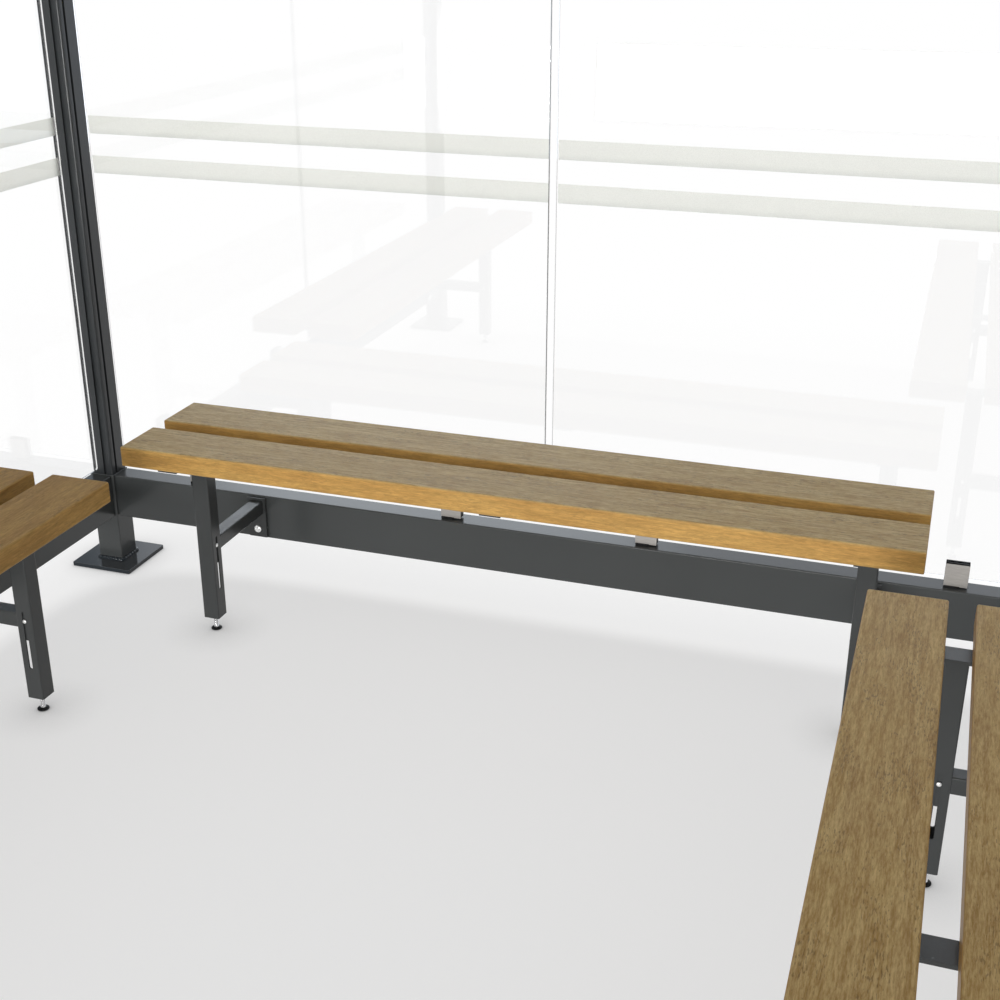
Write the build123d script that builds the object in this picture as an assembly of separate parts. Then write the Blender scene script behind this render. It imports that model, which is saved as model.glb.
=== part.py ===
"""Three-sided glazed bench enclosure of a smoking shelter, in millimetres.

Four posts stand on a square, three walls of clear glass close the back and the two sides, and the
front is open. Each wall has a bottom rail and a top rail between its posts, two glass panels in
clips, and a slatted bench that is tied to the bottom rail and stands on two adjustable legs.
The origin is the middle of the square on the floor, the back wall is towards +Y, the open front
towards -Y, and +Z is up.
"""
from build123d import *
import os

# Plan and heights of the frame
BAY_WIDTH = 2100.0
BAY_DEPTH = 2100.0
POST_TOP = 2200.0
RAIL_BOTTOM_GAP = 120.0
RAIL_TOP_GAP = 20.0

# Base plates
BASE_PLATE_SIDE = 150.0
BASE_PLATE_THICKNESS = 9.0
BASE_PLATE_CORNER = 7.0

# Foot of each post: a square tube that ends level with the top of the bottom rails
FOOT_TUBE_SIDE = 60.0
FOOT_TUBE_WALL = 3.0
FOOT_TUBE_CORNER = 3.0
FOOT_CAP_THICKNESS = 3.0

# Post above the foot: a hollow profile with a groove on each side of its inner corner, a land away from it
POST_SIDE = 55.0
POST_CORNER = 4.0
POST_WALL = 2.5
POST_LAND_WIDTH = 14.0
POST_GROOVE_WIDTH = 7.0
POST_GROOVE_DEPTH = 5.0
POST_CAP_THICKNESS = 4.0

# Rails between the posts: rectangular tubes with an end plate set in at each end
RAIL_HEIGHT = 100.0
RAIL_DEPTH = 50.0
RAIL_WALL = 3.0
RAIL_CORNER = 2.5
RAIL_END_PLATE = 5.0
RAIL_END_INSET = 2.0

# Glass panels, two in each wall
GLASS_THICKNESS = 8.0
GLASS_RAIL_GAP = 19.0
GLASS_POST_GAP = 19.0
GLASS_MIDDLE_GAP = 15.0
GLASS_CORNER = 6.0

# Clips that hold the glass on the rails, two at the foot and two at the head of each panel
CLIP_WIDTH = 44.0
CLIP_HEIGHT = 52.0
CLIP_JAW = 5.5
CLIP_FROM_MIDDLE = 210.0
CLIP_FROM_POST = 240.0
CLIP_BASE_THICKNESS = 4.0
CLIP_BASE_REACH = 12.5
CLIP_EASE = 1.0

# Bench seats
SEAT_HEIGHT = 450.0
BENCH_END_GAP = 300.0
SLAT_WIDTH = 120.0
SLAT_THICKNESS = 40.0
SLAT_GAP = 40.0
SLAT_CORNER = 3.5
SEAT_REAR_FROM_WALL = 100.0
BENCH_CORNER_GAP = 160.0
SIDE_BENCH_FRONT_MARGIN = 60.0

# Flat bars that carry the slats, set back from the seat's front and rear edges
BEARER_WIDTH = 40.0
BEARER_THICKNESS = 6.0
BEARER_END_INSET = 10.0

# Bench legs: an outer tube with an upright slot through both sides and a window in its rear wall
# below the stay, and an inner tube that slides in it
LEG_SIDE = 35.0
LEG_WALL = 2.5
LEG_CORNER = 3.0
LEG_INSET = 93.0
LEG_GROUND_GAP = 32.0
INNER_LEG_WALL = 2.0
INNER_LEG_BOTTOM = 155.0
SLOT_WIDTH = 7.0
SLOT_LENGTH = 120.0
SLOT_MIDDLE_HEIGHT = 156.0
WINDOW_WIDTH = 24.0
WINDOW_LENGTH = 110.0
WINDOW_STAY_GAP = 4.0

# Stays that tie the legs to the bottom rail: a square tube with a plate at its wall end
STAY_SIDE = 30.0
STAY_WALL = 2.5
STAY_CORNER = 2.5
STAY_HEIGHT = 195.0
STAY_PLATE_WIDTH = 42.0
STAY_PLATE_HEIGHT = 92.0
STAY_PLATE_THICKNESS = 8.0

# Levelling feet under the bench legs
FOOT_DISC_RADIUS = 12.0
FOOT_DISC_HEIGHT = 5.0
FOOT_STEM_RADIUS = 5.0
FOOT_PLUG_HEIGHT = 12.0

# Heights and widths that follow from the sizes above
RAIL_LOW_TOP = RAIL_BOTTOM_GAP + RAIL_HEIGHT
RAIL_HIGH_TOP = POST_TOP - RAIL_TOP_GAP
RAIL_HIGH_BOTTOM = RAIL_HIGH_TOP - RAIL_HEIGHT
GLASS_BOTTOM = RAIL_LOW_TOP + GLASS_RAIL_GAP
GLASS_TOP = RAIL_HIGH_BOTTOM - GLASS_RAIL_GAP
SEAT_DEPTH = 2 * SLAT_WIDTH + SLAT_GAP
SLAT_BOTTOM = SEAT_HEIGHT - SLAT_THICKNESS
BEARER_BOTTOM = SLAT_BOTTOM - BEARER_THICKNESS
SEAT_MIDDLE_FROM_WALL = SEAT_REAR_FROM_WALL + SEAT_DEPTH / 2
SEAT_FRONT_FROM_WALL = SEAT_REAR_FROM_WALL + SEAT_DEPTH

# The back bench leaves equal gaps to the posts; the side benches start clear of the back bench's front
BACK_BENCH_LENGTH = BAY_WIDTH - 2 * BENCH_END_GAP
SIDE_BENCH_START = SEAT_FRONT_FROM_WALL + BENCH_CORNER_GAP
SIDE_BENCH_LENGTH = BAY_DEPTH - SIDE_BENCH_FRONT_MARGIN - SIDE_BENCH_START
SIDE_BENCH_SHIFT = BAY_DEPTH / 2 - SIDE_BENCH_FRONT_MARGIN - SIDE_BENCH_LENGTH / 2

# Each post's place, and the turn that brings the grooved corner of its profile to the inside of the bay
CORNERS = {
    "back_left": (-BAY_WIDTH / 2, BAY_DEPTH / 2, 0),
    "back_right": (BAY_WIDTH / 2, BAY_DEPTH / 2, -90),
    "front_left": (-BAY_WIDTH / 2, -BAY_DEPTH / 2, 90),
    "front_right": (BAY_WIDTH / 2, -BAY_DEPTH / 2, 180),
}

# Each wall is drawn along X with its outer side towards +Y, then turned into place: its place on
# the floor, its length between post centres, and the names of its glass panels from -X to +X as drawn
WALLS = {
    "back": (Pos(0, BAY_DEPTH / 2, 0), BAY_WIDTH, ("left", "right")),
    "left": (Pos(-BAY_WIDTH / 2, 0, 0) * Rot(0, 0, 90), BAY_DEPTH, ("front", "rear")),
    "right": (Pos(BAY_WIDTH / 2, 0, 0) * Rot(0, 0, -90), BAY_DEPTH, ("rear", "front")),
}

# The bench of each wall: its length and its shift along the wall, as drawn
BENCHES = {
    "back": (BACK_BENCH_LENGTH, 0.0),
    "left": (SIDE_BENCH_LENGTH, -SIDE_BENCH_SHIFT),
    "right": (SIDE_BENCH_LENGTH, SIDE_BENCH_SHIFT),
}

UPRIGHT = (Align.CENTER, Align.CENTER, Align.MIN)


def square_tube(side, wall, corner, length):
    """A square tube along Z from the floor up, with rounded outer corners."""
    outer = RectangleRounded(side, side, corner)
    inner = Rectangle(side - 2 * wall, side - 2 * wall)
    return extrude(outer - inner, length)


def base_plate():
    """The plate under a post, with rounded corners."""
    outline = RectangleRounded(BASE_PLATE_SIDE, BASE_PLATE_SIDE, BASE_PLATE_CORNER)
    return extrude(outline, BASE_PLATE_THICKNESS)


def post_foot():
    """The foot tube from the base plate to the level of the rail's top, closed by a thin cap."""
    length = RAIL_LOW_TOP - BASE_PLATE_THICKNESS
    tube = square_tube(FOOT_TUBE_SIDE, FOOT_TUBE_WALL, FOOT_TUBE_CORNER, length)
    cap_outline = RectangleRounded(FOOT_TUBE_SIDE, FOOT_TUBE_SIDE, FOOT_TUBE_CORNER)
    cap = Pos(0, 0, length - FOOT_CAP_THICKNESS) * extrude(cap_outline, FOOT_CAP_THICKNESS)
    return Pos(0, 0, BASE_PLATE_THICKNESS) * (tube + cap)


def post_section():
    """The section of a post, drawn with its inner corner towards +X and -Y.

    Both faces at that corner have a groove, and the wall keeps its thickness round the grooves.
    """
    outer = RectangleRounded(POST_SIDE, POST_SIDE, POST_CORNER)
    bore = Rectangle(POST_SIDE - 2 * POST_WALL, POST_SIDE - 2 * POST_WALL)
    groove_middle = POST_SIDE / 2 - POST_LAND_WIDTH - POST_GROOVE_WIDTH / 2
    for place in (Pos(groove_middle, -POST_SIDE / 2), Pos(POST_SIDE / 2, -groove_middle) * Rot(0, 0, 90)):
        outer -= place * Rectangle(POST_GROOVE_WIDTH, 2 * POST_GROOVE_DEPTH)
        bore -= place * Rectangle(POST_GROOVE_WIDTH + 2 * POST_WALL, 2 * (POST_GROOVE_DEPTH + POST_WALL))
    return outer - bore


def post():
    """A post above its foot: the hollow grooved profile, closed by a cap at its head."""
    length = POST_TOP - RAIL_LOW_TOP
    profile = extrude(post_section(), length)
    cap_outline = RectangleRounded(POST_SIDE, POST_SIDE, POST_CORNER)
    cap = Pos(0, 0, length - POST_CAP_THICKNESS) * extrude(cap_outline, POST_CAP_THICKNESS)
    return Pos(0, 0, RAIL_LOW_TOP) * (profile + cap)


def rail(bay, post_side, bottom):
    """A rail that fills the bay between two posts, with its end plates set in from the tube's faces."""
    span = bay - post_side
    tube_length = span - 2 * RAIL_END_PLATE
    outer = RectangleRounded(RAIL_DEPTH, RAIL_HEIGHT, RAIL_CORNER)
    inner = Rectangle(RAIL_DEPTH - 2 * RAIL_WALL, RAIL_HEIGHT - 2 * RAIL_WALL)
    tube = extrude(Plane.YZ * (outer - inner), tube_length / 2, both=True)
    plate = Plane.YZ * Rectangle(RAIL_DEPTH - 2 * RAIL_END_INSET, RAIL_HEIGHT - 2 * RAIL_END_INSET)
    for side in (-1, 1):
        tube += Pos(side * (span - RAIL_END_PLATE) / 2, 0, 0) * extrude(plate, RAIL_END_PLATE / 2, both=True)
    return Pos(0, 0, bottom + RAIL_HEIGHT / 2) * tube


def glass_width(bay):
    """Width of one of the two equal panels of a wall."""
    return (bay - POST_SIDE - GLASS_MIDDLE_GAP) / 2 - GLASS_POST_GAP


def glass_panel(bay, side):
    """One glass panel of a wall, on the post centre line, on the -X or the +X side of its middle."""
    width = glass_width(bay)
    height = GLASS_TOP - GLASS_BOTTOM
    sheet = extrude(Plane.XZ * RectangleRounded(width, height, GLASS_CORNER), GLASS_THICKNESS / 2, both=True)
    return Pos(side * (GLASS_MIDDLE_GAP + width) / 2, 0, (GLASS_BOTTOM + GLASS_TOP) / 2) * sheet


def clip():
    """A clip on a rail's top face: a base flange towards the room and two jaws round the glass edge."""
    half = GLASS_THICKNESS / 2 + CLIP_JAW
    body = Box(CLIP_WIDTH, 2 * half, CLIP_HEIGHT, align=UPRIGHT)
    body = chamfer(body.faces().sort_by(Axis.Z)[-1].edges(), CLIP_EASE)
    slot_height = CLIP_HEIGHT - GLASS_RAIL_GAP
    body -= Pos(0, 0, GLASS_RAIL_GAP) * Box(CLIP_WIDTH, GLASS_THICKNESS, slot_height, align=UPRIGHT)
    flange = Box(CLIP_WIDTH, CLIP_BASE_REACH, CLIP_BASE_THICKNESS, align=(Align.CENTER, Align.MAX, Align.MIN))
    return body + Pos(0, -half, 0) * flange


def clips(bay):
    """All clips of a wall: two at the foot and two at the head of each glass panel."""
    near = CLIP_FROM_MIDDLE
    far = bay / 2 - CLIP_FROM_POST
    low = clip()
    high = mirror(low, Plane.XY)
    placed = []
    for along in (-far, -near, near, far):
        placed.append(Pos(along, 0, RAIL_LOW_TOP) * low)
        placed.append(Pos(along, 0, RAIL_HIGH_BOTTOM) * high)
    return Compound(placed)


def slat(length, from_wall):
    """One seat slat with rounded edges; from_wall is the distance of its rear edge from the wall's centre."""
    section = Plane.YZ * RectangleRounded(SLAT_WIDTH, SLAT_THICKNESS, SLAT_CORNER)
    middle_height = SEAT_HEIGHT - SLAT_THICKNESS / 2
    return Pos(0, -from_wall - SLAT_WIDTH / 2, middle_height) * extrude(section, length / 2, both=True)


def bearers(leg_offset):
    """The flat bars across the underside of the seat: one over each leg and one in the middle."""
    placed = []
    for along in (-leg_offset, 0, leg_offset):
        bar = Box(BEARER_WIDTH, SEAT_DEPTH - 2 * BEARER_END_INSET, BEARER_THICKNESS, align=UPRIGHT)
        placed.append(Pos(along, -SEAT_MIDDLE_FROM_WALL, BEARER_BOTTOM) * bar)
    return Compound(placed)


def outer_leg():
    """The outer tube of a leg, slotted through the sides that face along the bench, with its rear window."""
    length = BEARER_BOTTOM - LEG_GROUND_GAP
    tube = Pos(0, 0, LEG_GROUND_GAP) * square_tube(LEG_SIDE, LEG_WALL, LEG_CORNER, length)
    slot = extrude(Plane.YZ * Rot(0, 0, 90) * SlotOverall(SLOT_LENGTH, SLOT_WIDTH), LEG_SIDE, both=True)
    window = extrude(Plane.XZ * Rot(0, 0, 90) * SlotOverall(WINDOW_LENGTH, WINDOW_WIDTH), LEG_WALL, both=True)
    window_top = STAY_HEIGHT - STAY_SIDE / 2 - WINDOW_STAY_GAP
    tube -= Pos(0, 0, SLOT_MIDDLE_HEIGHT) * slot
    tube -= Pos(0, LEG_SIDE / 2, window_top - WINDOW_LENGTH / 2) * window
    return tube


def leg():
    """A bench leg: the slotted outer tube and the inner tube that reaches down into it."""
    inner_side = LEG_SIDE - 2 * LEG_WALL
    bore = inner_side - 2 * INNER_LEG_WALL
    section = Rectangle(inner_side, inner_side) - Rectangle(bore, bore)
    inner = extrude(section, BEARER_BOTTOM - INNER_LEG_BOTTOM)
    return outer_leg() + Pos(0, 0, INNER_LEG_BOTTOM) * inner


def stay():
    """A stay from the leg's rear face to the rail, with its plate on the rail's inner face."""
    plate_face = RAIL_DEPTH / 2 + STAY_PLATE_THICKNESS
    leg_face = SEAT_MIDDLE_FROM_WALL - LEG_SIDE / 2
    bore = STAY_SIDE - 2 * STAY_WALL
    section = RectangleRounded(STAY_SIDE, STAY_SIDE, STAY_CORNER) - Rectangle(bore, bore)
    arm = Pos(0, -plate_face, STAY_HEIGHT) * extrude(Plane.XZ * section, leg_face - plate_face)
    on_rail = (Align.CENTER, Align.MAX, Align.CENTER)
    plate = Box(STAY_PLATE_WIDTH, STAY_PLATE_THICKNESS, STAY_PLATE_HEIGHT, align=on_rail)
    return arm + Pos(0, -RAIL_DEPTH / 2, RAIL_BOTTOM_GAP + RAIL_HEIGHT / 2) * plate


def levelling_foot():
    """A disc on the floor, a threaded stem, and the plug in the end of the leg."""
    disc = Cylinder(FOOT_DISC_RADIUS, FOOT_DISC_HEIGHT, align=UPRIGHT)
    stem = Cylinder(FOOT_STEM_RADIUS, LEG_GROUND_GAP, align=UPRIGHT)
    bore = LEG_SIDE - 2 * LEG_WALL
    plug = Box(bore, bore, FOOT_PLUG_HEIGHT, align=UPRIGHT)
    return disc + stem + Pos(0, 0, LEG_GROUND_GAP) * plug


def pair(piece, leg_offset, from_wall):
    """The same piece at both legs of a bench, from_wall in front of the wall's centre line."""
    return Compound([Pos(side * leg_offset, -from_wall, 0) * piece for side in (-1, 1)])


def frame_nodes():
    """Base plate, foot and post at each of the four corners."""
    nodes = {}
    for corner, (x, y, turn) in CORNERS.items():
        nodes["base_plate_" + corner] = Pos(x, y, 0) * base_plate()
        nodes["post_foot_" + corner] = Pos(x, y, 0) * post_foot()
        nodes["post_" + corner] = Pos(x, y, 0) * Rot(0, 0, turn) * post()
    return nodes


def wall_nodes(name, place, bay, panels):
    """Rails, glass and clips of one wall."""
    nodes = {
        "bottom_rail_" + name: rail(bay, FOOT_TUBE_SIDE, RAIL_BOTTOM_GAP),
        "top_rail_" + name: rail(bay, POST_SIDE, RAIL_HIGH_BOTTOM),
        "clips_" + name: clips(bay),
    }
    for side, panel in zip((-1, 1), panels):
        nodes["glass_" + name + "_" + panel] = glass_panel(bay, side)
    return {node: place * shape for node, shape in nodes.items()}


def bench_nodes(name, place):
    """Slats, bearers, legs, stays and levelling feet of one bench."""
    length, shift = BENCHES[name]
    leg_offset = length / 2 - LEG_INSET
    nodes = {
        "slat_rear": slat(length, SEAT_REAR_FROM_WALL),
        "slat_front": slat(length, SEAT_REAR_FROM_WALL + SLAT_WIDTH + SLAT_GAP),
        "bearers": bearers(leg_offset),
        "legs": pair(leg(), leg_offset, SEAT_MIDDLE_FROM_WALL),
        "stays": pair(stay(), leg_offset, 0),
        "feet": pair(levelling_foot(), leg_offset, SEAT_MIDDLE_FROM_WALL),
    }
    return {"bench_" + name + "_" + node: place * Pos(shift, 0, 0) * shape for node, shape in nodes.items()}


def all_nodes():
    """Every node of the enclosure by name."""
    nodes = frame_nodes()
    for name, (place, bay, panels) in WALLS.items():
        nodes.update(wall_nodes(name, place, bay, panels))
        nodes.update(bench_nodes(name, place))
    return nodes


os.makedirs("parts", exist_ok=True)
for node_name, node_shape in all_nodes().items():
    export_step(node_shape, "parts/" + node_name + ".step")
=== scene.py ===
"""Looks of a three-sided glazed bench enclosure of a smoking shelter.

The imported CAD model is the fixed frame. Powder-coated tubes keep their CAD meshes and get a finish.
Boards, glass, clips, base plates, post feet and levelling feet are replaced by finer pieces in the
same places, and bolts, weld beads and frosted bands are added. Everything is in metres: the back
wall is towards +Y, the open front towards -Y, and +Z is up.
"""
import logging
import math
from dataclasses import dataclass, field
from enum import Enum
from typing import Any

import bpy
import numpy as np
from mathutils import Matrix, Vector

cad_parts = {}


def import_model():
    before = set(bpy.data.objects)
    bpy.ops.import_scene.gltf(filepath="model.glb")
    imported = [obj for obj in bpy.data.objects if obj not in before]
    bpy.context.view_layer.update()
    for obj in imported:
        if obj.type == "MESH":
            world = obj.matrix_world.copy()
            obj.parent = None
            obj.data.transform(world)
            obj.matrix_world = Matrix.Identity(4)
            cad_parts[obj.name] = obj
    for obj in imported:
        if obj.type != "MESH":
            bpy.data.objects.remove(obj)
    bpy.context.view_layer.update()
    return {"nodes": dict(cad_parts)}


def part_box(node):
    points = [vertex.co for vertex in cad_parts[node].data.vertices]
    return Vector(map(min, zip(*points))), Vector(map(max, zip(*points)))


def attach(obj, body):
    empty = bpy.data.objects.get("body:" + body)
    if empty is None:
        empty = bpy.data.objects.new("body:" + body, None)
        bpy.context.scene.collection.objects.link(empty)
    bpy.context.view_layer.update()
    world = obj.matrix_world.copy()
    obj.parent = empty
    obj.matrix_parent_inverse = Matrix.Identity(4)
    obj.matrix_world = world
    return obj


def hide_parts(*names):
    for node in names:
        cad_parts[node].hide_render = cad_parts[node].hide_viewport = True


LOG = logging.getLogger("enclosure")
BODY = "root"
SMOOTH_UNDER = math.radians(38.0)

Pair = tuple[float, float]
Triple = tuple[float, float, float]
Colour = tuple[float, float, float]
Nodes = dict[str, bpy.types.Object]

UP = np.array((0.0, 0.0, 1.0))
# Stands a block up that was drawn lying flat, so that its top looks into the room.
STOOD_UP = np.array([(1.0, 0.0, 0.0), (0.0, 0.0, -1.0), (0.0, 1.0, 0.0)])


# Shapes

@dataclass
class Shell:
    """Points, faces and per-point marks of a piece before it becomes a mesh."""

    points: np.ndarray
    faces: list[np.ndarray]
    marks: dict[str, np.ndarray] = field(default_factory=dict)

    def placed(self, turn: np.ndarray, offset: np.ndarray) -> "Shell":
        """The shell turned by a 3 x 3 matrix, then moved by an offset."""
        return Shell(self.points @ turn.T + offset, self.faces, self.marks)

    def moved(self, x: float, y: float, z: float) -> "Shell":
        """The shell moved along the three axes."""
        return Shell(self.points + (x, y, z), self.faces, self.marks)


def joined(shells: list[Shell]) -> Shell:
    """One shell from several: points one after another, face numbers raised by the points before them.

    Args:
        shells: The shells to put together, all with the same marks.

    Returns:
        The joined shell.
    """
    starts = np.cumsum([0] + [len(shell.points) for shell in shells])
    faces = [block + start for shell, start in zip(shells, starts) for block in shell.faces]
    marks = {key: np.concatenate([shell.marks[key] for shell in shells]) for key in shells[0].marks}
    return Shell(np.concatenate([shell.points for shell in shells]), faces, marks)


def skin(rings: np.ndarray, capped: bool = True) -> Shell:
    """Closed skin over a stack of rings that run anticlockwise seen from the end of the stack.

    Each quad joins two neighbouring points of one ring to the same two of the next ring, and the
    first and last rings are closed by one flat face each.

    Args:
        rings: Points as an array of stations x points x 3.
        capped: Whether the ends are closed; without it the last ring joins the first.

    Returns:
        The shell.
    """
    stations, count = rings.shape[:2]
    index = np.arange(stations * count).reshape(stations, count)
    low, high = (index[:-1], index[1:]) if capped else (index, np.roll(index, -1, axis=0))
    quads = np.stack([low, np.roll(low, -1, axis=1), np.roll(high, -1, axis=1), high], axis=-1)
    faces = [quads.reshape(-1, 4)]
    if capped:
        faces += [index[:1, ::-1], index[-1:]]
    return Shell(rings.reshape(-1, 3), faces)


def level(outline: np.ndarray, height: float) -> np.ndarray:
    """An outline in X and Y, laid level at a height."""
    return np.column_stack([outline, np.full(len(outline), height)])


def across(outline: np.ndarray, place: float) -> np.ndarray:
    """An outline in Y and Z, stood across the X axis at a place."""
    return np.column_stack([np.full(len(outline), place), outline])


def rounded_outline(width: float, height: float, corner: float, steps: int) -> np.ndarray:
    """Anticlockwise outline of a rectangle with round corners.

    Each corner is a quarter circle: its centre plus the radius times cosine and sine of the angle.

    Args:
        width: Whole size along the first axis.
        height: Whole size along the second axis.
        corner: Radius of the corners.
        steps: Points on each quarter circle.

    Returns:
        Points as an array of 4 * steps x 2.
    """
    angle = np.linspace(0.0, math.pi / 2, steps)[None, :] + np.arange(4)[:, None] * math.pi / 2
    signs = np.array([(1, 1), (-1, 1), (-1, -1), (1, -1)], float)
    centres = signs * (width / 2 - corner, height / 2 - corner)
    arcs = centres[:, None, :] + corner * np.stack([np.cos(angle), np.sin(angle)], axis=-1)
    return arcs.reshape(-1, 2)


def eased_stations(length: float, ease: float, steps: int) -> np.ndarray:
    """Stations of a block with eased ends, as place along its length and inset of the outline there.

    At each end a quarter circle of radius ease leads from the end face, where the inset is ease, to
    the straight part, where it is nothing: place = ease * (1 - cos t) and inset = ease * (1 - sin t).

    Args:
        length: Whole length, with the block from 0 to length.
        ease: Radius of the eased ends.
        steps: Points on each quarter circle.

    Returns:
        An array of 2 * steps x 2.
    """
    turn = np.linspace(0.0, math.pi / 2, steps)
    place = ease * (1 - np.cos(turn))
    inset = ease * (1 - np.sin(turn))
    start = np.stack([place, inset], axis=-1)
    end = np.stack([length - place, inset], axis=-1)[::-1]
    return np.concatenate([start, end])


def eased_block(width: float, depth: float, height: float, corner: float, ease: float, steps: int) -> Shell:
    """A block on the XY plane with round upright corners and eased upper and lower edges.

    The outline at each station is the rounded rectangle drawn in by that station's inset.

    Args:
        width: Size along X.
        depth: Size along Y.
        height: Size along Z, from 0 up.
        corner: Radius of the upright corners.
        ease: Radius of the eased edges.
        steps: Points on each eased edge; a corner has two more.

    Returns:
        The block, with the mark "edge" at 1 on the eased edges.
    """
    stations = eased_stations(height, ease, steps)
    least_corner = 0.2 * corner
    rings = []
    for place, inset in stations:
        radius = max(corner - inset, least_corner)
        outline = rounded_outline(width - 2 * inset, depth - 2 * inset, radius, steps + 2)
        rings.append(level(outline, place))
    rings = np.stack(rings)
    shell = skin(rings)
    shell.marks["edge"] = np.repeat((stations[:, 1] > 0).astype(float), rings.shape[1])
    return shell


def circle(sides: int) -> np.ndarray:
    """Unit circle at height 0, anticlockwise: cosine and sine of evenly spaced angles."""
    angle = np.arange(sides) * 2 * math.pi / sides
    return np.stack([np.cos(angle), np.sin(angle), np.zeros(sides)], axis=-1)


def turned_rings(profile: np.ndarray, sides: int) -> np.ndarray:
    """Rings of a surface of revolution about Z: the unit circle times the radius, at the height.

    Args:
        profile: Radius and height of the outline from the foot up, as an array of n x 2.
        sides: Points round the axis.

    Returns:
        Points as an array of n x sides x 3.
    """
    return profile[:, 0, None, None] * circle(sides) + profile[:, 1, None, None] * UP


def carried(profile: np.ndarray, path: np.ndarray, outward: np.ndarray, size: np.ndarray) -> Shell:
    """A profile carried along a closed level path, larger or smaller from point to point.

    Each point is the path point plus the size there times the sum of the profile's first number
    outward and its second number straight up.

    Args:
        profile: Anticlockwise outline, outward and up, as an array of k x 2.
        path: Points of the path, anticlockwise, as an array of n x 3.
        outward: Unit outward directions at those points, as an array of n x 3.
        size: Factor on the profile at those points, as an array of n.

    Returns:
        The closed ring-shaped shell.
    """
    section = profile[None, :, :1] * outward[:, None, :] + profile[None, :, 1:] * UP
    rings = path[:, None, :] + size[:, None, None] * section
    return skin(rings[::-1], capped=False)


def dome(radius: float, height: float, sides: int, socket: float = 0.0) -> Shell:
    """A button head on the XY plane, with a hexagon socket in its top if one is asked for.

    The outline is a quarter ellipse, radius * cos t and height * sin t, above a short upright rim,
    and ends in a small flat top. The socket is a ring of hexagon points let into the top: the
    hexagon's radius at an angle is its flat distance over the cosine of the angle from the nearest
    flat's middle.

    Args:
        radius: Radius of the head.
        height: Height of the head.
        sides: Points round the axis.
        socket: Distance from the axis to the socket's flats, or 0 for none.

    Returns:
        The shell, with the mark "edge" at 1 round the rim.
    """
    rim_top = 0.25 * height
    flat_radius = max(1.35 * socket, 0.12 * radius)
    turn = np.linspace(0.0, math.acos(flat_radius / radius), 8)
    crown = np.column_stack([radius * np.cos(turn), rim_top + (height - rim_top) * np.sin(turn)])
    profile = np.concatenate([[(radius, 0.0)], crown])
    rings = turned_rings(profile, sides)
    rim_rows = 3
    edge = np.repeat((np.arange(len(profile)) < rim_rows).astype(float), sides)
    if socket:
        angle = np.arange(sides) * 2 * math.pi / sides
        from_flat = (angle + math.pi / 6) % (math.pi / 3) - math.pi / 6
        hexagon = circle(sides) * (socket / np.cos(from_flat))[:, None]
        socket_top, socket_floor = profile[-1, 1], 0.35 * height
        rings = np.concatenate([rings, np.stack([hexagon + socket_top * UP, hexagon + socket_floor * UP])])
        edge = np.concatenate([edge, np.zeros(2 * sides)])
    shell = skin(rings)
    shell.marks["edge"] = edge
    return shell


def mesh_of(name: str, shell: Shell) -> bpy.types.Mesh:
    """The Blender mesh of a shell, smooth where its faces meet at a small angle.

    Args:
        name: Name of the mesh.
        shell: The shell.

    Returns:
        The mesh, with the shell's marks as attributes of its points.
    """
    sizes = np.concatenate([np.full(len(block), block.shape[1]) for block in shell.faces])
    starts = np.concatenate([[0], np.cumsum(sizes)[:-1]])
    corners = np.concatenate([block.ravel() for block in shell.faces])
    mesh = bpy.data.meshes.new(name)
    mesh.vertices.add(len(shell.points))
    mesh.vertices.foreach_set("co", shell.points.astype(np.float32).ravel())
    mesh.loops.add(len(corners))
    mesh.loops.foreach_set("vertex_index", corners.astype(np.int32))
    mesh.polygons.add(len(sizes))
    mesh.polygons.foreach_set("loop_start", starts.astype(np.int32))
    mesh.polygons.foreach_set("use_smooth", np.ones(len(sizes), bool))
    for key, values in shell.marks.items():
        kind, entry = ("FLOAT", "value") if values.ndim == 1 else ("FLOAT_VECTOR", "vector")
        attribute = mesh.attributes.new(key, kind, "POINT")
        attribute.data.foreach_set(entry, values.astype(np.float32).ravel())
    mesh.update(calc_edges=True)
    mesh.validate()
    mesh.set_sharp_from_angle(angle=SMOOTH_UNDER)
    return mesh


def add_piece(
    name: str, shell: Shell, material: bpy.types.Material, replaces: tuple[str, ...] = ()
) -> bpy.types.Object:
    """Makes a piece from a shell, rides it on the frame and reports it.

    Args:
        name: Name of the piece.
        shell: Its shape, in place.
        material: Its finish.
        replaces: CAD nodes that the piece stands for.

    Returns:
        The object.
    """
    piece = bpy.data.objects.new(name, mesh_of(name, shell))
    piece.data.materials.append(material)
    bpy.context.scene.collection.objects.link(piece)
    flats = piece.modifiers.new("flat faces stay flat", "WEIGHTED_NORMAL")
    flats.weight = 100
    flats.keep_sharp = True
    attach(piece, BODY)
    if replaces:
        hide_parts(*replaces)
    LOG.info("%s: %d faces, finish %s", name, len(piece.data.polygons), material.name)
    return piece


def dress(node: bpy.types.Object, material: bpy.types.Material) -> None:
    """Gives a CAD node a finish in each of its material slots, and reports it.

    Args:
        node: The CAD node's object.
        material: The finish.
    """
    for slot in node.material_slots:
        slot.material = material
    LOG.info("%s: CAD mesh, finish %s", node.name, material.name)


# Node trees

Value = Any
Socket = bpy.types.NodeSocket


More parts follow.
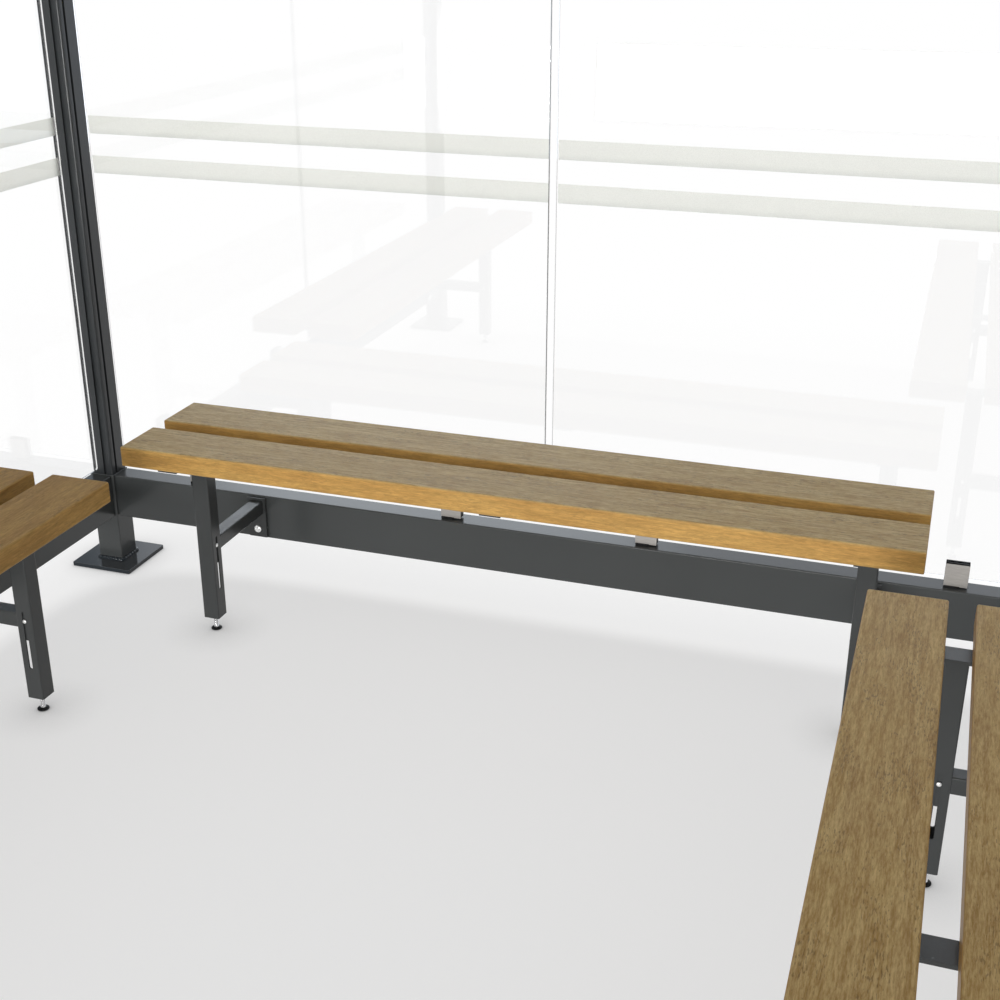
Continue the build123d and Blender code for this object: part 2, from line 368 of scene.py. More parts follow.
class Tree:
    """Short calls that add nodes to a node tree and join them."""

    def __init__(self, tree: bpy.types.NodeTree) -> None:
        """Keeps the tree that the calls work on."""
        self.tree = tree

    def join(self, socket: Socket, target: Socket) -> None:
        """Joins an output to an input."""
        self.tree.links.new(socket, target)

    def feed(self, target: Socket, value: Value) -> None:
        """Joins a socket to an input, or sets the input to a plain value.

        Args:
            target: The input.
            value: A socket or a plain value.
        """
        if isinstance(value, Socket):
            self.join(value, target)
        else:
            target.default_value = value

    def add(
        self, kind: str, inputs: dict[str | int, Value] | None = None, **settings: Value
    ) -> bpy.types.Node:
        """Adds a node, sets its options, and sets or joins its inputs.

        Args:
            kind: Type name of the node.
            inputs: Values, or sockets to join, by input name or number.
            settings: Options of the node.

        Returns:
            The node.
        """
        node = self.tree.nodes.new(kind)
        for key, value in settings.items():
            setattr(node, key, value)
        for key, value in (inputs or {}).items():
            self.feed(node.inputs[key], value)
        return node

    def group(self, tree: bpy.types.NodeTree, **inputs: Value) -> bpy.types.Node:
        """Places a node group and sets or joins its inputs.

        Args:
            tree: The group.
            inputs: Values or sockets by input name, with underscores for the spaces in a name.

        Returns:
            The group's node.
        """
        node = self.add("ShaderNodeGroup", node_tree=tree)
        for key, value in inputs.items():
            self.feed(node.inputs[key.replace("_", " ")], value)
        return node

    def math(self, operation: str, first: Value, second: Value = 0.0, third: Value = 0.0) -> Socket:
        """Result of a Math node."""
        return self.add("ShaderNodeMath", {0: first, 1: second, 2: third}, operation=operation).outputs[0]

    def span(
        self, value: Value, low: float, high: float, out_low: float = 0.0, out_high: float = 1.0
    ) -> Socket:
        """Smooth step of a value from one range to another."""
        inputs = {"Value": value, "From Min": low, "From Max": high, "To Min": out_low, "To Max": out_high}
        return self.add("ShaderNodeMapRange", inputs, interpolation_type="SMOOTHSTEP").outputs["Result"]

    def blend(self, factor: Value, first: Value, second: Value) -> Socket:
        """Colour mixed from two by a factor."""
        inputs = {0: factor, 6: first, 7: second}
        return self.add("ShaderNodeMix", inputs, data_type="RGBA", blend_type="MIX").outputs[2]

    def toned(self, colour: Value, factor: Value) -> Socket:
        """Colour multiplied by one number."""
        return self.add("ShaderNodeVectorMath", {0: colour, "Scale": factor}, operation="SCALE").outputs[0]

    def noise(self, place: Value, scale: Value, detail: float = 2.0, roughness: float = 0.5) -> Socket:
        """Value of a Noise Texture at a place."""
        inputs = {"Vector": place, "Scale": scale, "Detail": detail, "Roughness": roughness}
        return self.add("ShaderNodeTexNoise", inputs).outputs["Fac"]

    def scaled(self, place: Value, scale: Value) -> Socket:
        """A place multiplied by three numbers."""
        return self.add("ShaderNodeVectorMath", {0: place, 1: scale}, operation="MULTIPLY").outputs[0]

    def object_place(self) -> Socket:
        """Object coordinates, in metres."""
        return self.add("ShaderNodeTexCoord").outputs["Object"]

    def mark(self, name: str, entry: str = "Fac") -> Socket:
        """A per-point mark of the mesh."""
        return self.add("ShaderNodeAttribute", attribute_name=name).outputs[entry]

    def upward(self) -> Socket:
        """Upward part of the normal: 1 on level tops and 0 on upright faces."""
        normal = self.add("ShaderNodeNewGeometry").outputs["Normal"]
        return self.add("ShaderNodeSeparateXYZ", {0: normal}).outputs["Z"]

    def bump(self, height: Value, strength: float, distance: float) -> Socket:
        """Normal bent by a height."""
        inputs = {"Height": height, "Strength": strength, "Distance": distance}
        return self.add("ShaderNodeBump", inputs).outputs[0]

    def seen(self) -> Socket:
        """1 on rays that the eye sees, straight, mirrored or through glass, and 0 on rays of light.

        Returns:
            The value, from a Light Path node, so it stays out of node groups.
        """
        path = self.add("ShaderNodeLightPath").outputs
        indirect = self.math("MAXIMUM", path["Is Glossy Ray"], path["Is Transmission Ray"])
        return self.math("MAXIMUM", path["Is Camera Ray"], indirect)


FLOAT = "NodeSocketFloat"
VECTOR = "NodeSocketVector"


def open_group(
    name: str, inputs: dict[str, tuple[str, Value]], outputs: dict[str, str]
) -> tuple[Tree, bpy.types.Node, bpy.types.Node]:
    """A new shader node group with named inputs and outputs.

    Args:
        name: Name of the group.
        inputs: Socket type and default value of each input by name.
        outputs: Socket type of each output by name.

    Returns:
        The group's tree, its input node and its output node.
    """
    tree = bpy.data.node_groups.new(name, "ShaderNodeTree")
    for key, (kind, value) in inputs.items():
        socket = tree.interface.new_socket(key, in_out="INPUT", socket_type=kind)
        if value is not None:
            socket.default_value = value
    for key, kind in outputs.items():
        tree.interface.new_socket(key, in_out="OUTPUT", socket_type=kind)
    calls = Tree(tree)
    return calls, calls.add("NodeGroupInput"), calls.add("NodeGroupOutput")


class Effects:
    """The node groups that several finishes share, each built once.

    The scales of the board's grain are along, across and up the board, per metre.
    """

    BEND_SCALE: Triple = (1.6, 7.0, 7.0)
    BEND_REACH: Triple = (0.0, 0.05, 0.05)
    PITH: Triple = (0.0, 0.035, -0.16)
    STREAK_SCALE: Triple = (12.0, 150.0, 150.0)
    FIBRE_SCALE: Triple = (60.0, 400.0, 400.0)
    FLECK_SCALE: Triple = (105.0, 500.0, 500.0)
    CLUSTER_SCALE: Triple = (9.0, 30.0, 30.0)
    MOTTLE_SCALE: Triple = (5.0, 34.0, 34.0)

    def __init__(self) -> None:
        """Builds the groups."""
        self.peel = self.build_peel()
        self.drift = self.build_drift()
        self.dust = self.build_dust()
        self.grain = self.build_grain()
        self.brush = self.build_brush()

    @staticmethod
    def build_peel() -> bpy.types.NodeTree:
        """Orange peel of a sprayed coat: a fine soft noise on top of a slow one.

        Returns:
            The group, with the size of the ripples as its input and a height as its output.
        """
        tree, into, out = open_group("orange peel", {"Size": (FLOAT, 0.002)}, {"Height": FLOAT})
        place = tree.object_place()
        scale = tree.math("DIVIDE", 1.0, into.outputs["Size"])
        fine = tree.noise(place, scale, 1.0, 0.4)
        slow = tree.noise(place, tree.math("MULTIPLY", scale, 0.28), 1.0, 0.5)
        tree.join(tree.math("MULTIPLY_ADD", slow, 0.6, fine), out.inputs["Height"])
        return tree.tree

    @staticmethod
    def build_drift() -> bpy.types.NodeTree:
        """Slow change of a value over the surface: middle value plus reach times a signed noise.

        Returns:
            The group, with middle, reach and patch size as its inputs and the value as its output.
        """
        inputs = {"Middle": (FLOAT, 0.3), "Reach": (FLOAT, 0.05), "Size": (FLOAT, 0.2)}
        tree, into, out = open_group("slow drift", inputs, {"Value": FLOAT})
        scale = tree.math("DIVIDE", 1.0, into.outputs["Size"])
        noise = tree.noise(tree.object_place(), scale, 3.0, 0.55)
        signed = tree.math("MULTIPLY_ADD", noise, 2.0, -1.0)
        value = tree.math("MULTIPLY_ADD", signed, into.outputs["Reach"], into.outputs["Middle"])
        tree.join(value, out.inputs["Value"])
        return tree.tree

    @staticmethod
    def build_dust() -> bpy.types.NodeTree:
        """Fine dust on faces that look up: the upward part of the normal times a patchy noise.

        Returns:
            The group, with the amount as its input and a mask as its output.
        """
        tree, into, out = open_group("settled dust", {"Amount": (FLOAT, 0.1)}, {"Mask": FLOAT})
        level_part = tree.span(tree.upward(), 0.5, 1.0)
        patches = tree.span(tree.noise(tree.object_place(), 9.0, 6.0, 0.65), 0.35, 0.75)
        mask = tree.math("MULTIPLY", level_part, tree.math("MULTIPLY_ADD", patches, 0.7, 0.3))
        tree.join(tree.math("MULTIPLY", mask, into.outputs["Amount"]), out.inputs["Mask"])
        return tree.tree

    @classmethod
    def build_grain(cls) -> bpy.types.NodeTree:
        """Grain of a straight-sawn board, from a place given as along, across and up in metres.

        Growth rings are bands of the distance from a pith line beside the board, which a slow noise
        bends. Streaks and fibres are noises stretched along the board, and pores are short dark
        flecks, in clusters, where a stretched noise passes a limit.

        Returns:
            The group, with the place and the width of a ring as its inputs, and a value for each
            of the grain's parts and a height as its outputs.
        """
        inputs = {"Place": (VECTOR, None), "Ring Width": (FLOAT, 0.011)}
        names = ("Rings", "Streaks", "Fibres", "Pores", "Mottle", "Height")
        tree, into, out = open_group("board grain", inputs, dict.fromkeys(names, FLOAT))
        place = into.outputs["Place"]

        slow = {"Vector": tree.scaled(place, cls.BEND_SCALE), "Scale": 1.0, "Detail": 2.0}
        bend = tree.add("ShaderNodeTexNoise", slow).outputs["Color"]
        moved = {0: bend, 1: cls.BEND_REACH, 2: place}
        bent = tree.add("ShaderNodeVectorMath", moved, operation="MULTIPLY_ADD").outputs[0]
        section = tree.scaled(bent, (0.0, 1.0, 1.0))
        away = tree.add("ShaderNodeVectorMath", {0: section, 1: cls.PITH}, operation="DISTANCE")
        turns = tree.math("DIVIDE", away.outputs["Value"], into.outputs["Ring Width"])
        ring_place = tree.add("ShaderNodeCombineXYZ", {"X": turns}).outputs[0]
        rings = tree.span(tree.noise(ring_place, 1.0, 2.0, 0.6), 0.28, 0.72)

        streaks = tree.noise(tree.scaled(place, cls.STREAK_SCALE), 1.0, 4.0, 0.7)
        fibres = tree.noise(tree.scaled(place, cls.FIBRE_SCALE), 1.0, 4.0, 0.75)
        mottle = tree.noise(tree.scaled(place, cls.MOTTLE_SCALE), 1.0, 5.0, 0.6)

        flecks = tree.noise(tree.scaled(place, cls.FLECK_SCALE), 1.0, 1.0, 0.5)
        cluster = tree.noise(tree.scaled(place, cls.CLUSTER_SCALE), 1.0, 2.0, 0.6)
        limit = tree.span(cluster, 0.42, 0.64, 0.69, 0.55)
        pores = tree.span(tree.math("SUBTRACT", flecks, limit), 0.0, 0.07)

        height = tree.math("MULTIPLY_ADD", pores, -1.0, tree.math("MULTIPLY", streaks, 0.8))
        for name, value in zip(names, (rings, streaks, fibres, pores, mottle, height)):
            tree.join(value, out.inputs[name])
        return tree.tree

    @staticmethod
    def build_brush() -> bpy.types.NodeTree:
        """Fine parallel lines of a brushed or polished metal: a noise drawn out along one direction.

        Returns:
            The group, with the scale along each axis as its input and the lines as its output.
        """
        inputs = {"Stretch": (VECTOR, (60.0, 2500.0, 2500.0))}
        tree, into, out = open_group("brush lines", inputs, {"Lines": FLOAT})
        drawn = tree.scaled(tree.object_place(), into.outputs["Stretch"])
        tree.join(tree.noise(drawn, 1.0, 2.0, 0.6), out.inputs["Lines"])
        return tree.tree


def new_material(name: str) -> tuple[bpy.types.Material, Tree, bpy.types.Node, bpy.types.Node]:
    """A node material with a Principled BSDF.

    Args:
        name: Name of the material.

    Returns:
        The material, its tree, its Principled BSDF and its output node.
    """
    material = bpy.data.materials.new(name)
    material.use_nodes = True
    nodes = material.node_tree.nodes
    return material, Tree(material.node_tree), nodes["Principled BSDF"], nodes["Material Output"]


def rgba(colour: Colour) -> tuple[float, float, float, float]:
    """A linear colour with full cover."""
    return (*colour, 1.0)


# Finishes

@dataclass(frozen=True)
class PowderCoat:
    """Sprayed and baked polyester coat, semi-gloss, with fine orange peel and a little dust."""

    name: str
    colour: Colour
    roughness: float = 0.22
    shine: float = 0.32
    peel_size: float = 0.0022
    peel_strength: float = 0.06
    peel_depth: float = 0.0006
    dust: float = 0.05
    dust_colour: Colour = (0.30, 0.29, 0.27)
    edge_highlight_colour: Colour = (0.16, 0.17, 0.175)
    edge_highlight: float = 0.35

    def build(self, effects: Effects) -> bpy.types.Material:
        """The coat: base colour with drift, a painted highlight on the eased edges, dust, drifting
        roughness, peel as bump.

        Args:
            effects: The shared node groups.

        Returns:
            The material.
        """
        material, tree, shader, _ = new_material(self.name)
        tone = tree.group(effects.drift, Middle=1.0, Reach=0.12, Size=0.35).outputs["Value"]
        # Eased edges are painted paler: a painted highlight where they catch the light.
        edge = tree.math("MULTIPLY", tree.mark("edge"), self.edge_highlight)
        lifted = tree.blend(edge, tree.toned(self.colour, tone), rgba(self.edge_highlight_colour))
        dust = tree.group(effects.dust, Amount=self.dust).outputs["Mask"]
        tree.join(tree.blend(dust, lifted, rgba(self.dust_colour)), shader.inputs["Base Color"])
        gloss = tree.group(effects.drift, Middle=self.roughness, Reach=0.05, Size=0.12).outputs["Value"]
        tree.join(tree.math("MULTIPLY_ADD", dust, 0.5, gloss), shader.inputs["Roughness"])
        peel = tree.group(effects.peel, Size=self.peel_size).outputs["Height"]
        tree.join(tree.bump(peel, self.peel_strength, self.peel_depth), shader.inputs["Normal"])
        shader.inputs["IOR"].default_value = 1.5
        shader.inputs["Specular IOR Level"].default_value = self.shine
        return material


@dataclass(frozen=True)
class OiledBoard:
    """Oiled hardwood: golden brown with fine straight grain and short dark pores, and a painted sheen on
    the tops.
    """

    name: str
    pale: Colour = (0.525, 0.316, 0.095)
    deep: Colour = (0.41, 0.222, 0.062)
    pore: Colour = (0.15, 0.09, 0.035)
    edge: Colour = (0.42, 0.28, 0.11)
    # Colour of the painted sheen: pale sky reflected at a low angle on the tops.
    sheen_colour: Colour = (0.560, 0.452, 0.235)
    ring_width: float = 0.010
    edge_darkening: float = 0.30
    roughness: float = 0.34
    fibre_roughness: float = 0.16
    relief: float = 0.40
    relief_depth: float = 0.0005
    ior: float = 1.30
    shine: float = 0.36

    def build(self, effects: Effects) -> bpy.types.Material:
        """The wood: rings and mottle choose between two browns, streaks, fibres and pores darken them.

        Faces that look up turn towards a pale grey-brown by a mark per board, more so along pale streaks
        and fibres: this is a painted sheen, the sky reflected on the tops. The mark "tone" makes a whole
        board lighter or darker.

        Args:
            effects: The shared node groups.

        Returns:
            The material.
        """
        material, tree, shader, _ = new_material(self.name)
        place = tree.mark("grain", "Vector")
        grain = tree.group(effects.grain, Place=place, Ring_Width=self.ring_width).outputs
        streaks, fibres = grain["Streaks"], grain["Fibres"]
        up = tree.upward()

        mottle = tree.math("MULTIPLY", tree.span(grain["Mottle"], 0.3, 0.7), 0.60)
        mixed = tree.math("MULTIPLY_ADD", grain["Rings"], 0.40, mottle)
        base = tree.blend(mixed, rgba(self.pale), rgba(self.deep))

        # Painted sheen: tops turn pale where the sky would reflect on them.
        grey = tree.math("MULTIPLY", tree.mark("painted_sheen"), tree.span(up, 0.5, 0.95))
        speckle = tree.math("MULTIPLY_ADD", fibres, 0.6, tree.math("MULTIPLY", streaks, 0.4))
        sheen_amount = tree.math("MULTIPLY", grey, tree.span(speckle, 0.34, 0.62, 0.05, 1.0))
        sheened = tree.blend(sheen_amount, base, rgba(self.sheen_colour))

        streak_tone = tree.span(streaks, 0.30, 0.70, 0.84, 1.14)
        fibre_tone = tree.span(fibres, 0.30, 0.70, 0.82, 1.18)
        grain_tone = tree.math("MULTIPLY", streak_tone, fibre_tone)
        toned = tree.toned(sheened, tree.math("MULTIPLY", grain_tone, tree.mark("tone")))

        pores = tree.math("MULTIPLY", grain["Pores"], tree.span(up, 0.2, 0.9, 0.22, 0.55))
        pored = tree.blend(pores, toned, rgba(self.pore))
        # The eased edges turn part way towards a darker brown.
        darkened_edge = tree.math("MULTIPLY", tree.mark("edge"), self.edge_darkening)
        tree.join(tree.blend(darkened_edge, pored, rgba(self.edge)), shader.inputs["Base Color"])

        rough = tree.math("MULTIPLY_ADD", fibres, self.fibre_roughness, self.roughness)
        tree.join(rough, shader.inputs["Roughness"])
        tree.join(tree.bump(grain["Height"], self.relief, self.relief_depth), shader.inputs["Normal"])
        shader.inputs["IOR"].default_value = self.ior
        shader.inputs["Specular IOR Level"].default_value = self.shine
        return material


@dataclass(frozen=True)
class ClearGlass:
    """Clear polished toughened glass. Shadow and diffuse rays pass straight through."""

    name: str
    colour: Colour = (1.0, 1.0, 1.0)
    ior: float = 1.5

    def build(self) -> bpy.types.Material:
        """The glass: glass for rays that are seen, plain see-through for light and shadow.

        Returns:
            The material.
        """
        material, tree, shader, out = new_material(self.name)
        shader.inputs["Base Color"].default_value = rgba(self.colour)
        shader.inputs["Transmission Weight"].default_value = 1.0
        shader.inputs["Metallic"].default_value = 0.0
        shader.inputs["IOR"].default_value = self.ior
        shader.inputs["Roughness"].default_value = 0.0
        path = tree.add("ShaderNodeLightPath").outputs
        unseen = tree.math("MAXIMUM", path["Is Shadow Ray"], path["Is Diffuse Ray"])
        clear = tree.add("ShaderNodeBsdfTransparent", {"Color": rgba(self.colour)})
        mixed = tree.add("ShaderNodeMixShader", {0: unseen, 1: shader.outputs[0], 2: clear.outputs[0]})
        tree.join(mixed.outputs[0], out.inputs["Surface"])
        return material


@dataclass(frozen=True)
class FrostedFilm:
    """Frosted warning band on the glass: pale, milky, and lit through from behind."""

    name: str
    colour: Colour = (0.80, 0.805, 0.765)
    # Colour of the painted shade along the film's lower edge.
    lower: Colour = (0.71, 0.72, 0.685)
    painted_shade_part: float = 0.35
    grain_scale: float = 900.0
    through: float = 0.9
    ior: float = 1.15

    def build(self, effects: Effects) -> bpy.types.Material:
        """The film: darker along its lower edge by the mark "rise", a painted shade, with a fine even
        speckle.

        Args:
            effects: The shared node groups.

        Returns:
            The material.
        """
        material, tree, shader, _ = new_material(self.name)
        # Painted shade: the film darkens towards its lower edge.
        rise = tree.span(tree.mark("rise"), 0.0, self.painted_shade_part)
        base = tree.blend(rise, rgba(self.lower), rgba(self.colour))
        grain = tree.noise(tree.object_place(), self.grain_scale, 1.0, 0.5)
        speckle = tree.span(grain, 0.3, 0.7, 0.94, 1.06)
        tree.join(tree.toned(base, speckle), shader.inputs["Base Color"])
        rough = tree.group(effects.drift, Middle=0.9, Reach=0.05, Size=0.1).outputs["Value"]
        tree.join(rough, shader.inputs["Roughness"])
        shader.inputs["Transmission Weight"].default_value = self.through
        shader.inputs["IOR"].default_value = self.ior
        return material


@dataclass(frozen=True)
class BrightSteel:
    """Bare stainless or plated steel with fine lines along one direction."""

    name: str
    colour: Colour
    roughness: float
    stretch: Triple
    line_strength: float = 0.15
    line_depth: float = 0.0002

    def build(self, effects: Effects) -> bpy.types.Material:
        """The metal: its roughness, tone and bump follow the brush lines.

        Args:
            effects: The shared node groups.

        Returns:
            The material.
        """
        material, tree, shader, _ = new_material(self.name)
        lines = tree.group(effects.brush, Stretch=self.stretch).outputs["Lines"]
        tone = tree.span(lines, 0.3, 0.7, 0.86, 1.1)
        tree.join(tree.toned(self.colour, tone), shader.inputs["Base Color"])
        drift = tree.group(effects.drift, Middle=self.roughness, Reach=0.04, Size=0.03).outputs["Value"]
        tree.join(tree.math("MULTIPLY_ADD", lines, 0.1, drift), shader.inputs["Roughness"])
        tree.join(tree.bump(lines, self.line_strength, self.line_depth), shader.inputs["Normal"])
        shader.inputs["Metallic"].default_value = 1.0
        return material


@dataclass(frozen=True)
class BlackRubber:
    """Black rubber or plastic with a fine matt grain."""

    name: str
    colour: Colour = (0.006, 0.006, 0.0065)
    roughness: float = 0.5
    shine: float = 0.2
    dust: float = 0.03
    dust_colour: Colour = (0.2, 0.19, 0.18)
    grain_size: float = 0.0008
    grain_strength: float = 0.2
    grain_depth: float = 0.0003

    def build(self, effects: Effects) -> bpy.types.Material:
        """The rubber: near black and matt, with a fine moulded grain and dust.

        Args:
            effects: The shared node groups.

        Returns:
            The material.
        """
        material, tree, shader, _ = new_material(self.name)
        dust = tree.group(effects.dust, Amount=self.dust).outputs["Mask"]
        dusty = tree.blend(dust, rgba(self.colour), rgba(self.dust_colour))
        tree.join(dusty, shader.inputs["Base Color"])
        rough = tree.group(effects.drift, Middle=self.roughness, Reach=0.08, Size=0.02).outputs["Value"]
        tree.join(rough, shader.inputs["Roughness"])
        grain = tree.group(effects.peel, Size=self.grain_size).outputs["Height"]
        tree.join(tree.bump(grain, self.grain_strength, self.grain_depth), shader.inputs["Normal"])
        shader.inputs["Specular IOR Level"].default_value = self.shine
        return material


class Palette:
    """All finishes of the enclosure, built once."""

    CLIP_STEEL = BrightSteel("brushed stainless", (0.345, 0.328, 0.308), 0.45, (90.0, 90.0, 2600.0))
    BOLT_STEEL = BrightSteel("bright bolt steel", (0.93, 0.93, 0.92), 0.24, (300.0, 300.0, 300.0), 0.03)
    STEM_STEEL = BrightSteel("plated stem", (0.70, 0.70, 0.71), 0.14, (300.0, 300.0, 900.0))

    def __init__(self) -> None:
        """Builds the shared effects and the materials."""
        effects = Effects()
        self.frame = PowderCoat("frame coat", (0.057, 0.061, 0.061)).build(effects)
        self.post = PowderCoat("post coat", (0.031, 0.034, 0.036), roughness=0.25).build(effects)
        self.plate = PowderCoat("base plate coat", (0.014, 0.020, 0.026), roughness=0.07).build(effects)
        self.bench = PowderCoat("bench coat", (0.047, 0.050, 0.050), roughness=0.24).build(effects)
        self.board = OiledBoard("oiled hardwood").build(effects)
        self.glass = ClearGlass("clear glass").build()
        self.film = FrostedFilm("frosted film").build(effects)
        self.clip = self.CLIP_STEEL.build(effects)
        self.bolt = self.BOLT_STEEL.build(effects)
        self.stem = self.STEM_STEEL.build(effects)
        self.rubber = BlackRubber("black rubber").build(effects)


# Places

def turn_about_z(degrees: float) -> np.ndarray:
    """Matrix of a turn about the Z axis.

    Args:
        degrees: The angle, anticlockwise seen from above.

    Returns:
        The 3 x 3 matrix.
    """
    angle = math.radians(degrees)
    cosine, sine = math.cos(angle), math.sin(angle)
    return np.array([(cosine, -sine, 0.0), (sine, cosine, 0.0), (0.0, 0.0, 1.0)])


HALF_BAY = 1.05


class Wall(Enum):
    """The three walls. Each is drawn along X with the room towards -Y, and then put in its place."""

    BACK = ("back", 0.0, (0.0, HALF_BAY, 0.0), ("left", "right"))
    LEFT = ("left", 90.0, (-HALF_BAY, 0.0, 0.0), ("front", "rear"))
    RIGHT = ("right", -90.0, (HALF_BAY, 0.0, 0.0), ("rear", "front"))

    def __init__(self, label: str, degrees: float, place: Triple, panels: tuple[str, str]) -> None:
        """Keeps the wall's values.

        Args:
            label: Name of the wall, as the CAD nodes have it.
            degrees: Turn about Z from a wall drawn along X.
            place: Middle of the wall on the floor.
            panels: Names of the two glass panels, from -X to +X as drawn.
        """
        self.label = label
        self.turn = turn_about_z(degrees)
        self.place = np.array(place)
        self.panels = panels

    def put(self, shell: Shell) -> Shell:
        """A shell of the wall as drawn, put in this wall's place."""
        return shell.placed(self.turn, self.place)

    def drawn(self, point: np.ndarray) -> np.ndarray:
        """A point of the room as this wall is drawn."""
        return (point - self.place) @ self.turn


class Corner(Enum):
    """The four posts, each drawn about the Z axis and then put in its place."""

    BACK_LEFT = ("back_left", -HALF_BAY, HALF_BAY)
    BACK_RIGHT = ("back_right", HALF_BAY, HALF_BAY)
    FRONT_LEFT = ("front_left", -HALF_BAY, -HALF_BAY)
    FRONT_RIGHT = ("front_right", HALF_BAY, -HALF_BAY)

    def __init__(self, label: str, x: float, y: float) -> None:
        """Keeps the post's values.

        Args:
            label: Name of the corner, as the CAD nodes have it.
            x: Place of the post's middle along X.
            y: Place of the post's middle along Y.
        """
        self.label = label
        self.x = x
        self.y = y

    def put(self, shell: Shell) -> Shell:
        """A shell of the post as drawn, put in this post's place."""
        return shell.moved(self.x, self.y, 0.0)


def drawn_box(wall: Wall, node: str) -> tuple[np.ndarray, np.ndarray]:
    """Lowest and highest corners of a CAD node, as its wall is drawn.

    Args:
        wall: The wall that the node belongs to.
        node: Name of the node.

    Returns:
        The two corners.
    """
    ends = np.stack([wall.drawn(np.array(corner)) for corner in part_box(node)])
    return ends.min(axis=0), ends.max(axis=0)


# Sub-assemblies

@dataclass
class PostFoot:
    """A post with its foot tube, cap, base plate and weld bead."""

    corner: Corner
    plate_side: float = 0.150
    plate_thickness: float = 0.009
    plate_corner: float = 0.003
    plate_ease: float = 0.0008
    tube_side: float = 0.060
    tube_corner: float = 0.003
    tube_top: float = 0.220
    cap_thickness: float = 0.003
    cap_ease: float = 0.0009
    joint_half: float = 0.0007
    joint_floor_half: float = 0.0002
    joint_depth: float = 0.0004
    bead: float = 0.0056
    bead_fullness: float = 0.8
    bead_root: float = 0.0006
    ripple_pitch: float = 0.0034
    ripple: float = 0.10

    def base_plate(self) -> Shell:
        """The plate: a block with round corners and eased edges.

        Returns:
            The plate in place.
        """
        side = self.plate_side
        plate = eased_block(side, side, self.plate_thickness, self.plate_corner, self.plate_ease, steps=4)
        return self.corner.put(plate)

    def tube(self) -> Shell:
        """Foot tube and cap: rounded square rings up the tube, drawn in at the joint and the cap's edges.

        The stations give height and inset. A shallow groove marks the joint between tube and cap,
        and the cap's upper edge is a quarter circle, like the ends of eased_stations.

        Returns:
            The tube in place, with the mark "edge" at 1 on the cap's upper edge.
        """
        joint = self.tube_top - self.cap_thickness
        below = [
            (self.plate_thickness, 0.0),
            (joint - self.joint_half, 0.0),
            (joint - self.joint_floor_half, self.joint_depth),
            (joint + self.joint_floor_half, self.joint_depth),
            (joint + self.joint_half, 0.0),
        ]
        turn = np.linspace(0.0, math.pi / 2, 4)
        ease = self.cap_ease
        edge_start = self.tube_top - ease
        above = np.column_stack([edge_start + ease * np.sin(turn), ease * (1 - np.cos(turn))])
        stations = np.concatenate([below, above])
        rings = []
        for height, inset in stations:
            side = self.tube_side - 2 * inset
            outline = rounded_outline(side, side, self.tube_corner - inset, steps=6)
            rings.append(level(outline, height))
        rings = np.stack(rings)
        shell = skin(rings)
        shell.marks["edge"] = np.repeat((stations[:, 0] > edge_start).astype(float), rings.shape[1])
        return self.corner.put(shell)

    def weld(self) -> Shell:
        """Weld bead round the tube's foot: a full round profile carried round the rounded square.

        The path is the tube's outline with its straight sides cut into short runs. The outward
        direction is away from the nearest point of the square on which the corners are centred.
        The profile's face is bead * cos t and bead * sin t, with cosine and sine raised to a power
        under 1, which makes it fuller than a circle. Its size along the path is
        1 + ripple * sin(2 pi * distance / pitch), for the ripples of a hand weld.

        Returns:
            The bead in place, with the mark "edge" at 0.
        """
        corner_steps, side_steps = 10, 26
        outline = rounded_outline(self.tube_side, self.tube_side, self.tube_corner, corner_steps)
        corners = outline.reshape(4, corner_steps, 2)
        ends = np.roll(corners[:, 0], -1, axis=0)
        sides = np.linspace(corners[:, -1], ends, side_steps, endpoint=False, axis=1)
        path = np.concatenate([corners[:, :-1], sides], axis=1).reshape(-1, 2)
        limit = self.tube_side / 2 - self.tube_corner
        away = path - np.clip(path, -limit, limit)
        outward = away / np.linalg.norm(away, axis=1, keepdims=True)
        distance = np.concatenate([[0.0], np.cumsum(np.linalg.norm(np.diff(path, axis=0), axis=1))])
        size = 1.0 + self.ripple * np.sin(distance * 2 * math.pi / self.ripple_pitch)

        turn = np.linspace(0.0, math.pi / 2, 6)
        face = self.bead * np.column_stack([np.cos(turn), np.sin(turn)]) ** self.bead_fullness
        root = -self.bead_root
        profile = np.concatenate([[(root, root), (self.bead, root)], face, [(root, self.bead)]])
        shell = carried(profile, level(path, self.plate_thickness), level(outward, 0.0), size)
        shell.marks["edge"] = np.zeros(len(shell.points))
        return self.corner.put(shell)

    def build(self, palette: Palette, nodes: Nodes) -> None:
        """Adds the pieces and dresses the post.

        Args:
            palette: The finishes.
            nodes: The CAD nodes' objects by name.
        """
        label = self.corner.label
        plate_node, tube_node = "base_plate_" + label, "post_foot_" + label
        add_piece("plate_" + label, self.base_plate(), palette.plate, (plate_node,))
        add_piece("foot_tube_" + label, self.tube(), palette.frame, (tube_node,))
        add_piece("foot_weld_" + label, self.weld(), palette.plate)
        dress(nodes["post_" + label], palette.post)


